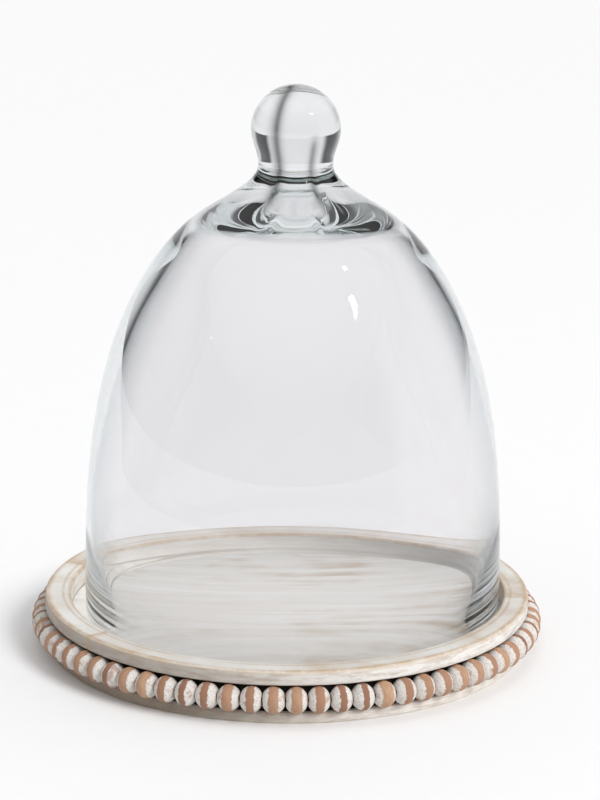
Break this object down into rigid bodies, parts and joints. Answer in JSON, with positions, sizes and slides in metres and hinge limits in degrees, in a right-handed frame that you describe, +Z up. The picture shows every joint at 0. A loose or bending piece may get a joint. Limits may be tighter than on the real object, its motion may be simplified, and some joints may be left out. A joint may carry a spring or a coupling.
{
  "type": "bell jar with tray",
  "caption": "Blown glass bell jar with a solid glass knob, standing loose in the recess of a round whitewashed wooden tray edged with a ring of wooden beads.",
  "frame": {"origin": "middle of the tray's underside, on the surface it stands on", "axes": "+Z up along the tray's axis, -Y towards the viewer, +X to the viewer's right"},
  "size_m": [0.2538, 0.2538, 0.2798],
  "materials": {
    "glass": "clear polished, hand-blown",
    "rim_wood": "whitewashed, worn at the edges",
    "floor_wood": "whitewashed, brushed grain",
    "base_wood": "whitewashed, worn",
    "bead_wood": "whitewashed with a bare band round the middle",
    "cord": "waxed cotton"
  },
  "bodies": {
    "tray": {"base_plate": "base_wood", "floor_board": "floor_wood", "rim_segment_1": "rim_wood", "rim_segment_2": "rim_wood", "rim_segment_3": "rim_wood", "rim_segment_4": "rim_wood", "rim_segment_5": "rim_wood", "rim_segment_6": "rim_wood", "bead_cord": "cord", "beads_01": "bead_wood", "beads_02": "bead_wood", "beads_03": "bead_wood", "beads_04": "bead_wood", "beads_05": "bead_wood", "beads_06": "bead_wood", "beads_07": "bead_wood", "beads_08": "bead_wood", "beads_09": "bead_wood", "beads_10": "bead_wood", "beads_11": "bead_wood", "beads_12": "bead_wood"},
    "dome": {"glass_dome": "glass"}
  },
  "joints": [
    {"name": "dome_lift", "type": "slide", "parent": "tray", "child": "dome", "axis": [0, 0, 1], "range_m": [0, 0.25]}
  ]
}
